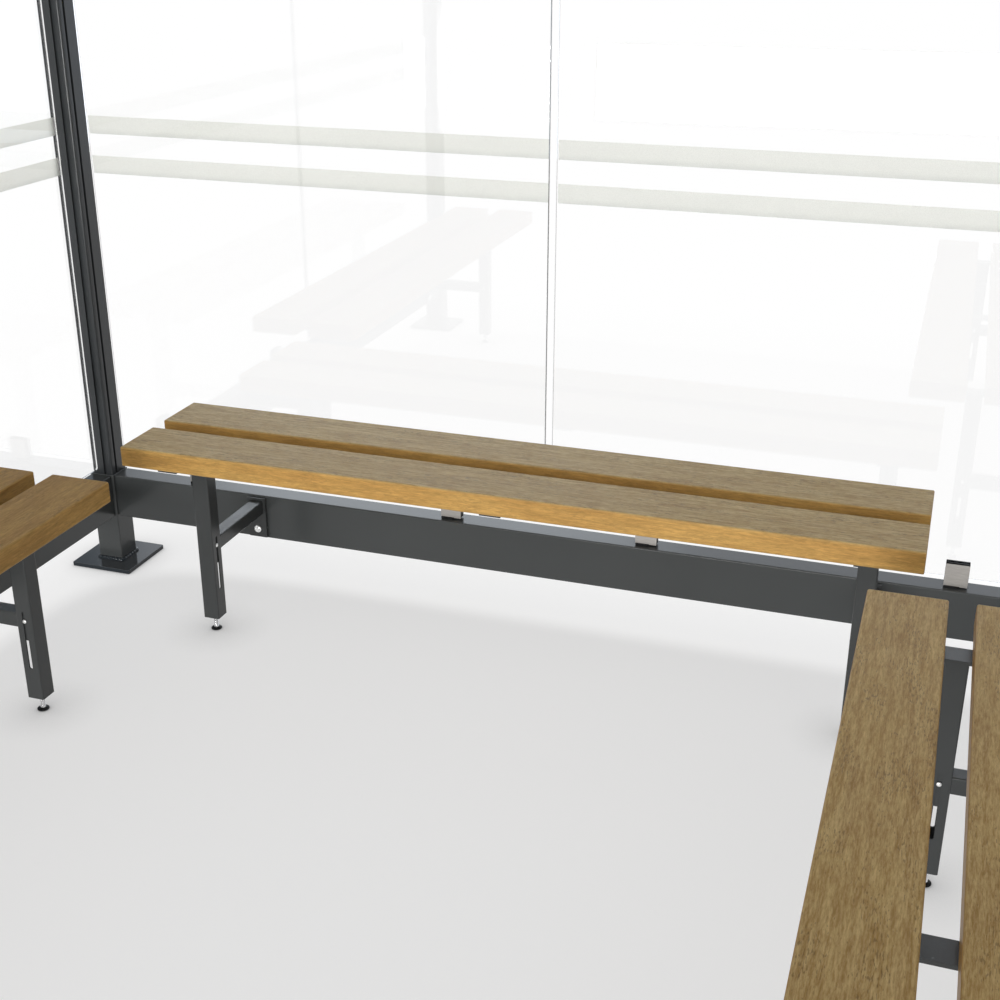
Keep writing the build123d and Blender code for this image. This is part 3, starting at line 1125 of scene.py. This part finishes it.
@dataclass
class GlazedWall:
    """Rails, glass panels, frosted bands and clips of one wall."""

    wall: Wall
    rail_low_top: float = 0.220
    rail_high_bottom: float = 2.080
    glass_thickness: float = 0.008
    glass_corner: float = 0.006
    glass_ease: float = 0.0008
    glass_foot: float = 0.019
    band_heights: tuple[Pair, ...] = ((0.8958, 0.9320), (0.9766, 1.0128))
    band_thickness: float = 0.00015
    band_gap: float = 0.000045
    band_margin: float = 0.0023
    clip_width: float = 0.044
    clip_places: tuple[float, ...] = (-0.810, -0.210, 0.210, 0.810)
    clip_face: float = 0.0095
    jaw_thickness: float = 0.003
    jaw_low: float = 0.0024
    jaw_high: float = 0.0490
    jaw_corner: float = 0.0012
    jaw_ease: float = 0.0006
    rubber_high: float = 0.0515
    rubber_set_in: float = 0.0002
    lip_step: float = 0.0006
    lip_chamfer: float = 0.0012
    mouth_chamfer: float = 0.0006
    base_thickness: float = 0.004
    base_width: float = 0.028
    base_shift: float = -0.007
    base_reach: float = 0.0115
    base_corner: float = 0.001
    base_ease: float = 0.0006

    def panel(self, node: str) -> Shell:
        """A glass panel: its rounded outline carried through the thickness, drawn in at both faces.

        Args:
            node: The CAD panel that it replaces.

        Returns:
            The panel in place.
        """
        low, high = drawn_box(self.wall, node)
        width, _, height = high - low
        pane = eased_block(width, height, self.glass_thickness, self.glass_corner, self.glass_ease, steps=3)
        x, _, z = (low + high) / 2
        return self.wall.put(pane.placed(STOOD_UP, np.array((x, self.glass_thickness / 2, z))))

    def bands(self, node: str) -> Shell:
        """Frosted bands on the outer face of a panel: thin sheets from one side of it to the other.

        Each end of a sheet is a ring that goes up its near face and down its far face, in equal
        steps from the lower edge to the upper one.

        Args:
            node: The CAD panel that they lie on.

        Returns:
            The bands in place, with a mark "rise" that goes from 0 at their foot to 1 at their top.
        """
        low, high = drawn_box(self.wall, node)
        near = self.glass_thickness / 2 + self.band_gap
        far = near + self.band_thickness
        rise = np.linspace(0.0, 1.0, 9)
        rise_round = np.concatenate([rise, rise[::-1]])[::-1]
        depth_round = np.repeat((far, near), len(rise))
        shells = []
        for bottom, top in self.band_heights:
            section = np.column_stack([depth_round, bottom + (top - bottom) * rise_round])
            ends = (low[0] + self.band_margin, high[0] - self.band_margin)
            shell = skin(np.stack([across(section, x) for x in ends]))
            shell.marks["rise"] = np.tile(rise_round, 2)
            shells.append(shell)
        return self.wall.put(joined(shells))

    def around_rails(self, clip: Shell) -> Shell:
        """A clip drawn on z = 0 at all its places on the low rail, and mirrored under the high rail.

        Args:
            clip: The clip or a part of it.

        Returns:
            The copies in place. The mirrored ones have their faces turned round again.
        """
        flip = np.diag((1.0, 1.0, -1.0))
        upper = Shell(clip.points @ flip, [block[:, ::-1] for block in clip.faces], clip.marks)
        placed = [clip.moved(x, 0.0, self.rail_low_top) for x in self.clip_places]
        placed += [upper.moved(x, 0.0, self.rail_high_bottom) for x in self.clip_places]
        return self.wall.put(joined(placed))

    def clip_plates(self) -> Shell:
        """Front and rear jaw of the clips: upright eased blocks on both sides of the glass.

        Returns:
            The jaws of all clips on this wall, in place.
        """
        height = self.jaw_high - self.jaw_low
        size = (self.clip_width, height, self.jaw_thickness)
        jaw = eased_block(*size, self.jaw_corner, self.jaw_ease, steps=3)
        middle = (self.jaw_low + self.jaw_high) / 2
        front = jaw.placed(STOOD_UP, np.array((0.0, self.jaw_thickness - self.clip_face, middle)))
        rear = jaw.placed(STOOD_UP, np.array((0.0, self.clip_face, middle)))
        return self.around_rails(joined([front, rear]))

    def clip_rubbers(self) -> Shell:
        """Rubbers of the clips: a U-shaped profile round the glass edge, carried across the width.

        The profile goes up outside one jaw, over it, down along the glass, across under the glass
        edge, and up and over the other jaw.

        Returns:
            The rubbers of all clips on this wall, in place.
        """
        outside = self.clip_face - self.jaw_thickness
        inside = self.glass_thickness / 2
        lip = self.clip_face - self.lip_step
        top = self.rubber_high
        half = np.array([
            (outside, self.base_thickness),
            (outside, self.jaw_high),
            (lip, self.jaw_high),
            (lip, top - self.lip_chamfer),
            (lip - self.lip_chamfer, top),
            (inside + self.mouth_chamfer, top),
            (inside, top - self.mouth_chamfer),
            (inside, self.glass_foot),
        ])
        profile = np.concatenate([half, half[::-1] * (-1.0, 1.0)])
        reach = self.clip_width / 2 - self.rubber_set_in
        return self.around_rails(skin(np.stack([across(profile, x) for x in (-reach, reach)])))

    def clip_bases(self) -> Shell:
        """Bases of the clips: low eased blocks from behind the glass to just in front of the clip.

        Returns:
            The bases of all clips on this wall, in place.
        """
        size = (self.base_width, self.base_reach + self.clip_face, self.base_thickness)
        middle = (self.clip_face - self.base_reach) / 2
        base = eased_block(*size, self.base_corner, self.base_ease, steps=3)
        return self.around_rails(base.moved(self.base_shift, middle, 0.0))

    def build(self, palette: Palette, nodes: Nodes) -> None:
        """Adds glass, bands and clips, and dresses the rails.

        Args:
            palette: The finishes.
            nodes: The CAD nodes' objects by name.
        """
        label = self.wall.label
        dress(nodes["bottom_rail_" + label], palette.frame)
        dress(nodes["top_rail_" + label], palette.frame)
        for name in self.wall.panels:
            node = f"glass_{label}_{name}"
            add_piece(f"pane_{label}_{name}", self.panel(node), palette.glass, (node,))
            add_piece(f"frosted_bands_{label}_{name}", self.bands(node), palette.film)
        clips = ("clips_" + label,)
        add_piece("clip_plates_" + label, self.clip_plates(), palette.clip, clips)
        add_piece("clip_rubbers_" + label, self.clip_rubbers(), palette.rubber, clips)
        add_piece("clip_bases_" + label, self.clip_bases(), palette.rubber, clips)


@dataclass
class Bench:
    """Boards, tubes, levelling feet and bolts of one bench."""

    wall: Wall
    number: int
    painted_sheen: float
    tone: float
    board_corner: float = 0.0035
    board_ease: float = 0.0025
    least_corner: float = 0.001
    grain_step: Triple = (3.7, 0.013, 0.021)
    leg_side: float = 0.035
    leg_wall: float = 0.0025
    leg_bottom: float = 0.032
    disc_radius: float = 0.0113
    disc_height: float = 0.005
    disc_rim: float = 0.0014
    disc_rim_height: float = 0.0016
    disc_chamfer: float = 0.001
    collar_foot: Pair = (0.0085, 0.0032)
    collar_shoulder: float = 0.0070
    collar_top: float = 0.0060
    collar_chamfer: float = 0.0006
    stem_radius: float = 0.005
    stem_overlap: float = 0.001
    stem_into_leg: float = 0.002
    thread_pitch: float = 0.0015
    thread_depth: float = 0.0005
    plug_gap: float = 0.0008
    plug_height: float = 0.003
    plug_corner: float = 0.003
    plug_ease: float = 0.0012
    plug_drop: float = 0.0002
    bolt_height: float = 0.1958
    bolt_radius: float = 0.0040
    bolt_rise: float = 0.0022
    bolt_sink: float = 0.0008
    bolt_socket: float = 0.0017
    plate_bolt_height: float = 0.1430
    plate_bolt_radius: float = 0.0085
    plate_bolt_rise: float = 0.0045
    plate_face: float = 0.033

    def board(self, node: str, seed: int) -> Shell:
        """A board: its rounded section carried along its length, drawn in at the eased ends.

        The mark "grain" is the place along, across and up in the board's own frame, moved far along
        by the board's number, so that no two boards share a pattern. The mark "edge" is the sine
        over each round corner of the section and over the stations of the eased ends.

        Args:
            node: The slat that the board replaces.
            seed: Number of the board.

        Returns:
            The board in place, with the marks "edge", "grain" and "tone", and a mark for how strong the
            painted sheen on its top is.
        """
        low, high = drawn_box(self.wall, node)
        length, width, thickness = high - low
        corner_steps = 7
        stations = eased_stations(length, self.board_ease, 4)
        rings = []
        for place, inset in stations:
            radius = max(self.board_corner - inset, self.least_corner)
            outline = rounded_outline(width - 2 * inset, thickness - 2 * inset, radius, corner_steps)
            rings.append(across(outline, place - length / 2))
        shell = skin(np.stack(rings))
        corners = np.tile(np.sin(np.linspace(0.0, math.pi, corner_steps)), 4)
        ends = (stations[:, 1] > 0) * np.sin(np.linspace(0.0, math.pi, len(stations)))
        count = len(shell.points)
        shell.marks["edge"] = np.maximum(corners[None, :], ends[:, None]).ravel()
        shell.marks["grain"] = shell.points + np.array(self.grain_step) * (seed, seed, seed % 3)
        # Strength of the painted sheen on the board's top.
        shell.marks["painted_sheen"] = np.full(count, self.painted_sheen)
        shell.marks["tone"] = np.full(count, self.tone)
        middle = (low + high) / 2
        return self.wall.put(shell.moved(*middle))

    def leg_places(self) -> np.ndarray:
        """Middles of the two legs on the floor as the wall is drawn, from the box of the feet.

        Returns:
            The two places. The feet reach as far as their end plugs, which fill the legs' inside.
        """
        low, high = drawn_box(self.wall, f"bench_{self.wall.label}_feet")
        reach = (self.leg_side - 2 * self.leg_wall) / 2
        y = (low[1] + high[1]) / 2
        return np.array([(low[0] + reach, y, 0.0), (high[0] - reach, y, 0.0)])

    def at_legs(self, shell: Shell, height: float = 0.0) -> Shell:
        """A shell drawn about the Z axis, put at a height in the middle of both legs."""
        return self.wall.put(joined([shell.moved(*(place + height * UP)) for place in self.leg_places()]))

    def discs(self) -> Shell:
        """Foot discs: a turned outline with a rounded rim and a low collar round the stem.

        Returns:
            Both discs in place.
        """
        radius, height, rim = self.disc_radius, self.disc_height, self.disc_rim
        turn = np.linspace(-math.pi / 2, math.pi / 2, 7)
        edge_radius = radius - rim + rim * np.cos(turn)
        edge_height = self.disc_rim_height + rim * np.sin(turn)
        foot = (radius - rim - self.disc_chamfer, 0.0)
        edge = np.column_stack([edge_radius, edge_height])[1:]
        shoulder = (self.collar_shoulder, height - self.collar_chamfer)
        collar = [self.collar_foot, shoulder, (self.collar_top, height)]
        return self.at_legs(skin(turned_rings(np.concatenate([[foot], edge, collar]), sides=40)))

    def stems(self) -> Shell:
        """Threaded stems: the radius falls by the thread depth in a triangle wave of height and angle.

        Returns:
            Both stems in place, from just inside the disc to just inside the leg.
        """
        sides, rows_per_turn = 24, 6
        top = self.leg_bottom + self.stem_into_leg
        bottom = self.disc_height - self.stem_overlap
        rows = int((top - bottom) / self.thread_pitch * rows_per_turn)
        z = np.linspace(bottom, top, rows)[:, None]
        angle = (np.arange(sides) * 2 * math.pi / sides)[None, :]
        phase = (z / self.thread_pitch - angle / (2 * math.pi)) % 1.0
        radius = self.stem_radius - self.thread_depth * np.abs(2 * phase - 1)
        heights = np.broadcast_to(z, radius.shape)
        rings = np.stack([radius * np.cos(angle), radius * np.sin(angle), heights], axis=-1)
        return self.at_legs(skin(rings))

    def plugs(self) -> Shell:
        """End plugs in the legs: an eased block just inside the tube, level with its end.

        Returns:
            Both plugs in place.
        """
        side = self.leg_side - self.plug_gap
        plug = eased_block(side, side, self.plug_height, self.plug_corner, self.plug_ease, steps=4)
        return self.at_legs(plug, self.leg_bottom - self.plug_drop)

    def leg_bolts(self) -> Shell:
        """Button heads on both slotted faces of each leg, over the slot.

        Returns:
            All four heads in place.
        """
        head = dome(self.bolt_radius, self.bolt_rise, sides=36, socket=self.bolt_socket)
        reach = self.leg_side / 2 - self.bolt_sink
        shells = []
        for side in (-1.0, 1.0):
            turn = np.array([(0.0, 0.0, side), (0.0, 1.0, 0.0), (-side, 0.0, 0.0)])
            offset = np.array((side * reach, 0.0, self.bolt_height))
            shells += [head.placed(turn, place + offset) for place in self.leg_places()]
        return self.wall.put(joined(shells))

    def plate_bolts(self) -> Shell:
        """Dome bolts that hold the stay plates on the rail, under the stays.

        Returns:
            Both bolt heads in place.
        """
        head = dome(self.plate_bolt_radius, self.plate_bolt_rise, sides=40)
        places = [np.array((x, -self.plate_face, self.plate_bolt_height)) for x, _, _ in self.leg_places()]
        return self.wall.put(joined([head.placed(STOOD_UP, place) for place in places]))

    def build(self, palette: Palette, nodes: Nodes) -> None:
        """Adds boards, feet and bolts, and dresses the tubes and bars.

        Args:
            palette: The finishes.
            nodes: The CAD nodes' objects by name.
        """
        prefix = f"bench_{self.wall.label}_"
        for part in ("legs", "stays", "bearers"):
            dress(nodes[prefix + part], palette.bench)
        for step, side in enumerate(("front", "rear")):
            node = prefix + "slat_" + side
            board = self.board(node, 2 * self.number + step + 1)
            add_piece(prefix + "board_" + side, board, palette.board, (node,))
        feet = (prefix + "feet",)
        add_piece(prefix + "foot_discs", self.discs(), palette.rubber, feet)
        add_piece(prefix + "foot_stems", self.stems(), palette.stem, feet)
        add_piece(prefix + "leg_plugs", self.plugs(), palette.bench, feet)
        add_piece(prefix + "leg_bolts", self.leg_bolts(), palette.bolt)
        add_piece(prefix + "plate_bolts", self.plate_bolts(), palette.bolt)


# Strength of the painted sheen, sky reflected on the tops, for each bench, and how light its boards are.
PAINTED_SHEEN = {Wall.BACK: 0.90, Wall.LEFT: 0.14, Wall.RIGHT: 0.60}
TONE = {Wall.BACK: 0.98, Wall.LEFT: 0.90, Wall.RIGHT: 1.0}


# Stage

def axes_matrix(right: np.ndarray, up: np.ndarray, back: np.ndarray, place: Triple) -> Matrix:
    """Matrix of a camera or lamp from its axes and its place.

    Args:
        right: Unit direction of its X axis.
        up: Unit direction of its Y axis.
        back: Unit direction of its Z axis, away from what it looks at.
        place: Where it stands.

    Returns:
        The 4 x 4 matrix.
    """
    matrix = np.eye(4)
    matrix[:3, :4] = np.column_stack([right, up, back, place])
    return Matrix(matrix.tolist())


def add_stage(name: str, shell: Shell, material: bpy.types.Material) -> bpy.types.Object:
    """Makes a piece of the stage, which is no part of the enclosure.

    Args:
        name: Name of the piece.
        shell: Its shape, in place.
        material: Its finish.

    Returns:
        The object.
    """
    piece = bpy.data.objects.new(name, mesh_of(name, shell))
    piece.data.materials.append(material)
    bpy.context.scene.collection.objects.link(piece)
    return piece


@dataclass
class Studio:
    """Camera, lamp, world, floor and reflection screen; angles are in degrees."""

    place: Triple = (0.7415, -1.4754, 1.4066)
    yaw: float = 18.507
    pitch: float = 23.045
    roll: float = 0.073
    lens: float = 50.08
    sensor: float = 36.0
    clip_start: float = 0.02
    lamp_place: Triple = (-0.3, -6.2, 0.3)
    lamp_aim: Triple = (0.0, 0.2, 0.4)
    lamp_power: float = 243.0
    lamp_width: float = 3.0
    lamp_height: float = 0.5
    sky: float = 0.25
    front_sky: float = 1.65
    floor_radius: float = 9.0
    floor_height: float = -0.0006
    floor_colour: Colour = (0.60, 0.60, 0.60)
    floor_seen: Colour = (0.36, 0.36, 0.36)
    floor_lift: float = 0.591
    floor_power: float = 8.0
    rim_lift: float = 0.13
    rim: Pair = (1.01, 1.09)
    fade: Pair = (1.09, 1.62)
    contact_reach: float = 0.11
    contact_power: float = 1.15
    screen_radius: float = 7.0
    screen_top: float = 8.0
    screen_ends: Pair = (-80.0, 45.0)
    window_left: Pair = (-34.0, -29.0)
    window_right: Pair = (-10.0, -6.5)
    window_colour: Colour = (2.45, 2.63, 2.82)
    screen_colour: Colour = (1.36, 1.44, 1.55)
    shade: Pair = (-39.5, -35.0)
    shade_colour: Colour = (0.30, 0.36, 0.43)

    def camera(self) -> None:
        """The camera: its axes follow from yaw, pitch and roll.

        It looks along (-sin yaw cos pitch, cos yaw cos pitch, -sin pitch). Its level right is
        (cos yaw, sin yaw, 0), and right and up are turned about the view by the roll.
        """
        yaw, pitch, roll = (math.radians(angle) for angle in (self.yaw, self.pitch, self.roll))
        level_ahead = np.array((-math.sin(yaw), math.cos(yaw), 0.0))
        ahead = math.cos(pitch) * level_ahead - math.sin(pitch) * UP
        level_right = np.array((math.cos(yaw), math.sin(yaw), 0.0))
        above = np.cross(level_right, ahead)
        right = math.cos(roll) * level_right + math.sin(roll) * above
        up = -math.sin(roll) * level_right + math.cos(roll) * above
        data = bpy.data.cameras.new("camera")
        data.lens = self.lens
        data.sensor_width = self.sensor
        data.sensor_fit = "HORIZONTAL"
        data.clip_start = self.clip_start
        eye = bpy.data.objects.new("camera", data)
        eye.matrix_world = axes_matrix(right, up, -ahead, self.place)
        bpy.context.scene.collection.objects.link(eye)
        bpy.context.scene.camera = eye

    def lamp(self) -> None:
        """A wide low strip lamp in front of the open side, aimed at the enclosure's middle.

        It lights the enclosure and shows in its reflections, but not to the camera.
        """
        data = bpy.data.lights.new("soft lamp", "AREA")
        data.energy = self.lamp_power
        data.shape = "RECTANGLE"
        data.size = self.lamp_width
        data.size_y = self.lamp_height
        back = np.array(self.lamp_place) - self.lamp_aim
        back = back / np.linalg.norm(back)
        right = np.cross(UP, back)
        right = right / np.linalg.norm(right)
        lamp = bpy.data.objects.new("soft lamp", data)
        lamp.matrix_world = axes_matrix(right, np.cross(back, right), back, self.lamp_place)
        lamp.visible_camera = False
        bpy.context.scene.collection.objects.link(lamp)

    def world(self) -> None:
        """White to rays that are seen, and a soft sky to rays of light.

        The sky's strength is sky + front_sky * y * y on the side of the open front, where y is the
        direction's part along the Y axis, and sky on the other side.
        """
        world = bpy.data.worlds.new("studio")
        bpy.context.scene.world = world
        world.use_nodes = True
        world.node_tree.nodes.clear()
        tree = Tree(world.node_tree)
        direction = tree.add("ShaderNodeTexCoord").outputs["Generated"]
        y = tree.add("ShaderNodeSeparateXYZ", {0: direction}).outputs["Y"]
        frontward = tree.math("MAXIMUM", tree.math("MULTIPLY", y, -1.0), 0.0)
        soft = tree.math("MULTIPLY_ADD", tree.math("POWER", frontward, 2.0), self.front_sky, self.sky)
        strength = tree.math("MULTIPLY_ADD", tree.seen(), tree.math("SUBTRACT", 1.0, soft), soft)
        white = tree.add("ShaderNodeBackground", {"Color": (1.0, 1.0, 1.0, 1.0), "Strength": strength})
        out = tree.add("ShaderNodeOutputWorld")
        tree.join(white.outputs[0], out.inputs["Surface"])

    def floor_material(self) -> bpy.types.Material:
        """Pale floor that fades to white round the enclosure for the rays that are seen.

        The distance from the middle is the eighth root of the sum of the eighth powers of x and y,
        which draws squares with round corners. The floor is grey in the bay, a painted shadow of a roof,
        steps up under the walls and fades to white outside. Where something stands close above it, it is
        darker by a painted contact shadow. Light that bounces off the floor sees its plain pale colour.

        Returns:
            The material.
        """
        material, tree, shader, out = new_material("pale floor")
        shader.inputs["Roughness"].default_value = 0.9
        shader.inputs["Specular IOR Level"].default_value = 0.0
        seen = tree.seen()
        colour = tree.blend(seen, rgba(self.floor_colour), rgba(self.floor_seen))
        tree.join(colour, shader.inputs["Base Color"])

        parts = tree.add("ShaderNodeSeparateXYZ", {0: tree.object_place()}).outputs
        sides = [tree.math("ABSOLUTE", parts[axis]) for axis in ("X", "Y")]
        powers = [tree.math("POWER", side, self.floor_power) for side in sides]
        away = tree.math("POWER", tree.math("ADD", *powers), 1.0 / self.floor_power)
        # Painted roof shadow: grey in the bay, a step up under the walls.
        lifted = tree.span(away, *self.rim, self.floor_lift, self.floor_lift + self.rim_lift)
        # Painted contact shadow from occlusion close above the floor.
        openness = tree.add("ShaderNodeAmbientOcclusion", {"Distance": self.contact_reach}, samples=6)
        contact = tree.math("POWER", openness.outputs["AO"], self.contact_power)
        strength = tree.math("MULTIPLY", tree.math("MULTIPLY", seen, lifted), contact)
        lift = tree.add("ShaderNodeEmission", {"Strength": strength})
        near = tree.add("ShaderNodeAddShader", {0: shader.outputs[0], 1: lift.outputs[0]})
        white = tree.add("ShaderNodeEmission", {"Strength": 1.0})
        fade = tree.math("MULTIPLY", seen, tree.span(away, *self.fade))
        mixed = tree.add("ShaderNodeMixShader", {0: fade, 1: near.outputs[0], 2: white.outputs[0]})
        tree.join(mixed.outputs[0], out.inputs["Surface"])
        return material

    def floor(self) -> None:
        """A round pale floor just under the base plates."""
        edge = self.floor_radius * circle(sides=96) + self.floor_height * UP
        face = np.arange(len(edge))[None, :]
        add_stage("floor", Shell(edge, [face]), self.floor_material())

    def screen_material(self) -> bpy.types.Material:
        """Glow of the reflection screen, seen by mirrored rays alone.

        Its brightness follows the direction from the middle, atan2(x, y): dark far left, a bright
        window left of the middle, and plain to the right.

        Returns:
            The material.
        """
        material, tree, _, out = new_material("reflection screen")
        parts = tree.add("ShaderNodeSeparateXYZ", {0: tree.object_place()}).outputs
        bearing = tree.math("ARCTAN2", parts["X"], parts["Y"])
        rise = tree.span(bearing, *np.radians(self.window_left))
        fall = tree.span(bearing, *np.radians(self.window_right), 1.0, 0.0)
        shade = tree.span(bearing, *np.radians(self.shade))
        ground = tree.blend(shade, rgba(self.shade_colour), rgba(self.screen_colour))
        colour = tree.blend(tree.math("MULTIPLY", rise, fall), ground, rgba(self.window_colour))
        glow = tree.add("ShaderNodeEmission", {"Color": colour, "Strength": 1.0})
        depth = tree.add("ShaderNodeLightPath").outputs["Glossy Depth"]
        mirrored = tree.math("GREATER_THAN", depth, 0.5)
        clear = tree.add("ShaderNodeBsdfTransparent")
        mixed = tree.add("ShaderNodeMixShader", {0: mirrored, 1: clear.outputs[0], 2: glow.outputs[0]})
        tree.join(mixed.outputs[0], out.inputs["Surface"])
        material.cycles.emission_sampling = "NONE"
        return material

    def screen(self) -> None:
        """A curved upright screen behind the enclosure that only reflections see.

        It is a part of a cylinder about the Z axis: radius * sin t and radius * cos t, where t is
        the bearing from straight behind. It lights nothing and hides nothing.
        """
        count = 48
        bearing = np.linspace(*np.radians(self.screen_ends), count)
        foot = level(self.screen_radius * np.column_stack([np.sin(bearing), np.cos(bearing)]), 0.0)
        index = np.arange(2 * count).reshape(2, count)
        quads = np.stack([index[0, :-1], index[0, 1:], index[1, 1:], index[1, :-1]], axis=-1)
        shell = Shell(np.concatenate([foot, foot + self.screen_top * UP]), [quads])
        screen = add_stage("reflection_screen", shell, self.screen_material())
        screen.visible_camera = False
        screen.visible_diffuse = False
        screen.visible_shadow = False

    def build(self) -> None:
        """Sets up camera, lamp, world, floor, reflection screen and the colour view."""
        self.camera()
        self.lamp()
        self.world()
        self.floor()
        self.screen()
        bpy.context.scene.view_settings.view_transform = "Standard"


def main() -> None:
    """Builds the enclosure's looks piece by piece."""
    logging.basicConfig(level=logging.INFO, format="%(name)s: %(message)s")
    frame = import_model()
    palette = Palette()
    for corner in Corner:
        PostFoot(corner).build(palette, frame["nodes"])
    for number, wall in enumerate(Wall):
        GlazedWall(wall).build(palette, frame["nodes"])
        Bench(wall, number, PAINTED_SHEEN[wall], TONE[wall]).build(palette, frame["nodes"])
    Studio().build()


if __name__ == "__main__":
    main()
